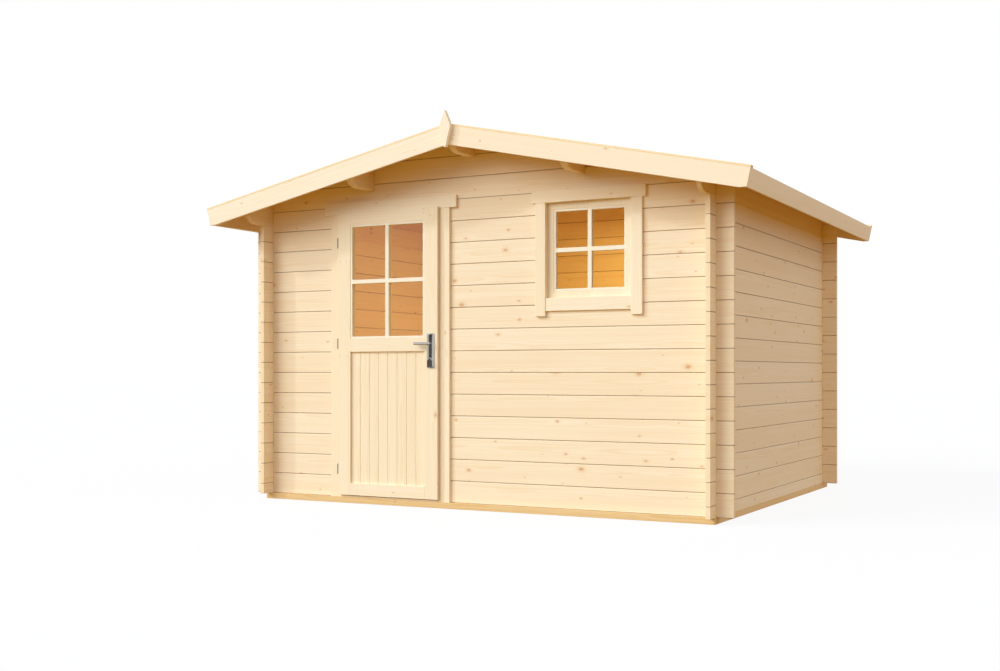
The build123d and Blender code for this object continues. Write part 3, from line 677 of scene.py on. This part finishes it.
# Panes
# Clear float glass 4 mm thick, held between beads: one sheet in the upper field of the door and one
# in the window sash.
def clear_glass(name):
    """Clear glass, with no shadow of its own, so that daylight reaches the room."""
    material = bpy.data.materials.new(name)
    material.use_nodes = True
    tree = material.node_tree
    shader = tree.nodes["Principled BSDF"]
    shader.inputs["Base Color"].default_value = (0.97, 0.99, 0.98, 1.0)
    shader.inputs["Roughness"].default_value = 0.0
    shader.inputs["IOR"].default_value = 1.45
    shader.inputs["Transmission Weight"].default_value = 1.0
    clear = tree.nodes.new("ShaderNodeBsdfTransparent")
    path = tree.nodes.new("ShaderNodeLightPath")
    mixed = tree.nodes.new("ShaderNodeMixShader")
    tree.links.new(path.outputs["Is Shadow Ray"], mixed.inputs[0])
    tree.links.new(shader.outputs[0], mixed.inputs[1])
    tree.links.new(clear.outputs[0], mixed.inputs[2])
    tree.links.new(mixed.outputs[0], tree.nodes["Material Output"].inputs["Surface"])
    return material


pane_glass = clear_glass("pane_glass")
for name in ("door_glass", "window_glass"):
    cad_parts[name].data.materials.clear()
    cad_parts[name].data.materials.append(pane_glass)


# Hinges
# Three screw-in hinges of zinc-plated steel: the lower barrel with its pin is screwed into the
# casing, the upper barrel into the edge of the leaf.
def metal(name, bright, dark, roughness, streaks, shade, blotches=0.8, flat=0.0):
    """Plated metal with long marks, with painted shade where it faces down, and by flat a painted dark
    reflection where it faces forward or back. streaks is how fine the marks are along each axis, and
    blotches is how dark they are."""
    material = bpy.data.materials.new(name)
    material.use_nodes = True
    tree = material.node_tree
    shader = tree.nodes["Principled BSDF"]
    shader.inputs["Metallic"].default_value = 1.0
    where = tree.nodes.new("ShaderNodeTexCoord")
    fine = noise(tree, vector_math(tree, "MULTIPLY", where.outputs["Object"], (900, 900, 60)), 3.0)
    marks = noise(tree, vector_math(tree, "MULTIPLY", where.outputs["Object"], streaks), 2.0)
    _, ahead, up = split(tree, where.outputs["Normal"])
    # Painted shade: darker where the face points down.
    under = fade(tree, up, 0.15, -0.6, 0.0, shade)
    # Painted dark reflection on faces that look straight forward or back.
    level = fade(tree, math(tree, "ABSOLUTE", ahead), 0.965, 0.992, 0.0, flat)
    dull = fade(tree, marks, 0.42, 0.72, 0.0, blotches)
    marks_and_painted_light = math(tree, "MAXIMUM", math(tree, "MAXIMUM", under, level), dull)
    tree.links.new(blend(tree, marks_and_painted_light, paint(*bright), paint(*dark)), shader.inputs["Base Color"])
    tree.links.new(math(tree, "MULTIPLY_ADD", fine, 0.1, roughness), shader.inputs["Roughness"])
    bump = tree.nodes.new("ShaderNodeBump")
    bump.inputs["Strength"].default_value = 0.12
    bump.inputs["Distance"].default_value = 0.0002
    tree.links.new(fine, bump.inputs["Height"])
    tree.links.new(bump.outputs[0], shader.inputs["Normal"])
    return material


HINGE_EDGE = 0.0006
METAL_ANGLE = 50
hinge_steel = metal("hinge_steel", bright=(112, 108, 104), dark=(64, 60, 56), roughness=0.3,
                    streaks=(60, 60, 120), shade=0.5)
dress(["hinge_pins", "hinge_barrels"], hinge_steel, HINGE_EDGE, angle=METAL_ANGLE)


# Handles
# Long plates of polished metal on both faces of the latch stile, with a cover for the lock cylinder
# at the foot, and a lever on a round neck.
HANDLE_EDGE = 0.0012
# The plates get painted shade under them and, by flat, a painted dark reflection on their flat faces; the
# lever gets painted shade under it.
handle_metal = metal("handle_metal", bright=(192, 190, 187), dark=(72, 67, 61), roughness=0.12,
                     streaks=(170, 170, 26), shade=0.85, blotches=0.25, flat=0.95)
lever_metal = metal("lever_metal", bright=(216, 214, 210), dark=(84, 79, 73), roughness=0.12,
                    streaks=(26, 170, 170), shade=0.9, blotches=0.2)
dress(["handle_plates"], handle_metal, HANDLE_EDGE, segments=3, angle=METAL_ANGLE)
dress(["door_lever"], lever_metal, HANDLE_EDGE, segments=3, angle=METAL_ANGLE)


# Window
# A fixed sash of planed spruce in a lining that sits in the wall, with flat casings outside: a long
# one over the head, one down each side past the sash, and a board under it.
window_middle = sum(corner.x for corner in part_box("window_glass")) / 2
WINDOW_SIDES = ("x", window_middle - 9.0, 9.0)
WINDOW_LEVELS = ("z", -0.5, 2.0)
window_uprights = timber("window_uprights", "z", "y", board=560.0, stack=WINDOW_SIDES, **UPRIGHT)
window_levels = timber("window_levels", "x", "y", board=566.0, stack=WINDOW_LEVELS, **LEVEL)
dress(["window_frame", "window_sash"], window_uprights, FRAME_EDGE)
dress(["window_side_casings"], window_uprights)
dress(["window_head_casing", "window_bottom_board"], window_levels)


# Studio
# A pale floor with a faint shadow, a plain backdrop, one narrow and two wide lamps outside and a warm
# lamp in the room. Floor and backdrop look white to the camera, in reflections and through panes.
FLOOR_REACH = 60.0
ground = bmesh.new()
bmesh.ops.create_grid(ground, x_segments=1, y_segments=1, size=FLOOR_REACH)
studio_mesh = bpy.data.meshes.new("studio_floor")
ground.to_mesh(studio_mesh)
ground.free()
studio_floor = bpy.data.objects.new("studio_floor", studio_mesh)
bpy.context.scene.collection.objects.link(studio_floor)


def seen_directly(tree):
    """1 where the camera, a reflection or a pane sees this surface, 0 where it lights the shed."""
    path = tree.nodes.new("ShaderNodeLightPath")
    seen = math(tree, "MAXIMUM", path.outputs["Is Camera Ray"], path.outputs["Is Glossy Ray"])
    seen = math(tree, "MAXIMUM", seen, path.outputs["Is Transmission Ray"])
    before_wood = math(tree, "LESS_THAN", path.outputs["Diffuse Depth"], 0.5)
    return math(tree, "MULTIPLY", seen, before_wood)


WHITE = (1.0, 1.0, 1.0, 1.0)
PALE_FLOOR = (0.94, 0.9, 0.9, 1.0)
FLOOR_GLOW = (0.39, 0.215, 0.02, 1.0)
FLOOR_WHITENESS = 0.9
floor_material = bpy.data.materials.new("studio_floor")
floor_material.use_nodes = True
tree = floor_material.node_tree
tree.nodes.remove(tree.nodes["Principled BSDF"])
bounce = tree.nodes.new("ShaderNodeEmission")
bounce.inputs["Color"].default_value = FLOOR_GLOW
pale = tree.nodes.new("ShaderNodeBsdfDiffuse")
pale.inputs["Color"].default_value = PALE_FLOOR
white = tree.nodes.new("ShaderNodeEmission")
white.inputs["Color"].default_value = WHITE
shown = tree.nodes.new("ShaderNodeMixShader")
shown.inputs[0].default_value = FLOOR_WHITENESS
tree.links.new(pale.outputs[0], shown.inputs[1])
tree.links.new(white.outputs[0], shown.inputs[2])
mixed = tree.nodes.new("ShaderNodeMixShader")
tree.links.new(seen_directly(tree), mixed.inputs[0])
tree.links.new(bounce.outputs[0], mixed.inputs[1])
tree.links.new(shown.outputs[0], mixed.inputs[2])
tree.links.new(mixed.outputs[0], tree.nodes["Material Output"].inputs["Surface"])
studio_mesh.materials.append(floor_material)

# The air lights the shed. A dark screen, mirrored by the window's panes, stands in front to the left.
AIR = (0.565, 0.625, 0.78, 1.0)
DARK_SCREEN = (0.08, 0.07, 0.06, 1.0)
SCREEN_WAY = (-0.29, -0.952, 0.1)
SCREEN_EDGE = radians(13.5)
SCREEN_MIDDLE = radians(9.8)
world = bpy.data.worlds.new("studio")
bpy.context.scene.world = world
world.use_nodes = True
tree = world.node_tree
soft = tree.nodes["Background"]
soft.inputs["Color"].default_value = AIR
backdrop = tree.nodes.new("ShaderNodeBackground")
path = tree.nodes.new("ShaderNodeLightPath")
way = tree.nodes.new("ShaderNodeTexCoord")
toward_screen = tree.nodes.new("ShaderNodeVectorMath")
toward_screen.operation = "DOT_PRODUCT"
tree.links.new(way.outputs["Generated"], toward_screen.inputs[0])
toward_screen.inputs[1].default_value = SCREEN_WAY
screen = fade(tree, toward_screen.outputs["Value"], cos(SCREEN_EDGE), cos(SCREEN_MIDDLE))
screen = math(tree, "MULTIPLY", path.outputs["Is Glossy Ray"], screen)
tree.links.new(blend(tree, screen, WHITE, DARK_SCREEN), backdrop.inputs["Color"])
mixed = tree.nodes.new("ShaderNodeMixShader")
tree.links.new(seen_directly(tree), mixed.inputs[0])
tree.links.new(soft.outputs[0], mixed.inputs[1])
tree.links.new(backdrop.outputs[0], mixed.inputs[2])
tree.links.new(mixed.outputs[0], tree.nodes["World Output"].inputs["Surface"])


def far_lamp(name, azimuth, height, width, energy, colour, mirrored=False):
    """A distant lamp; its azimuth counts from straight in front of the door wall to the right.
    A wide one isn't mirrored, so that panes and metal show the plain backdrop."""
    light = bpy.data.lights.new(name, "SUN")
    light.energy = energy
    light.color = colour
    light.angle = radians(width)
    lamp = bpy.data.objects.new(name, light)
    turn, rise = radians(azimuth), radians(height)
    toward = Vector((sin(turn) * cos(rise), -cos(turn) * cos(rise), sin(rise)))
    lamp.rotation_mode = "QUATERNION"
    lamp.rotation_quaternion = toward.to_track_quat("Z", "Y")
    lamp.visible_glossy = mirrored
    lamp.visible_transmission = mirrored
    bpy.context.scene.collection.objects.link(lamp)


far_lamp("key", azimuth=-61, height=29, width=3, energy=1.0, colour=(0.83, 0.92, 1.0), mirrored=True)
far_lamp("soft_front", azimuth=-35, height=26, width=42, energy=1.81, colour=(0.95, 0.99, 0.97))
far_lamp("soft_right", azimuth=78, height=38, width=50, energy=0.40, colour=(1.0, 0.68, 0.12))

ROOM_LAMP_SIZE = 1.2
ROOM_LAMP_PLACE = (0.45, 0.1, 2.0)
room = bpy.data.lights.new("room", "AREA")
room.shape = "RECTANGLE"
room.size = ROOM_LAMP_SIZE
room.size_y = ROOM_LAMP_SIZE
room.energy = 23.0
room.color = (1.0, 0.71, 0.225)
room_lamp = bpy.data.objects.new("room", room)
room_lamp.location = ROOM_LAMP_PLACE
room_lamp.visible_camera = False
room_lamp.visible_transmission = False
room_lamp.visible_glossy = False
bpy.context.scene.collection.objects.link(room_lamp)


# Camera
# It stands in front to the right, a little lower than the lever, and looks level, with its frame
# shifted up a little, so that upright edges stay upright.
VIEW_TURN = radians(28.08)
VIEW_SIDE = 3.623
VIEW_DISTANCE = 6.432
VIEW_HEIGHT = 0.819
camera = bpy.data.cameras.new("camera")
camera.sensor_width = 36.0
camera.lens = 44.61
camera.shift_y = 0.0367
camera_object = bpy.data.objects.new("camera", camera)
camera_object.location = (VIEW_SIDE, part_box("front_wall_right")[0].y - VIEW_DISTANCE, VIEW_HEIGHT)
camera_object.rotation_euler = (radians(90), 0, VIEW_TURN)
bpy.context.scene.collection.objects.link(camera_object)
bpy.context.scene.camera = camera_object
bpy.context.scene.view_settings.view_transform = "Standard"
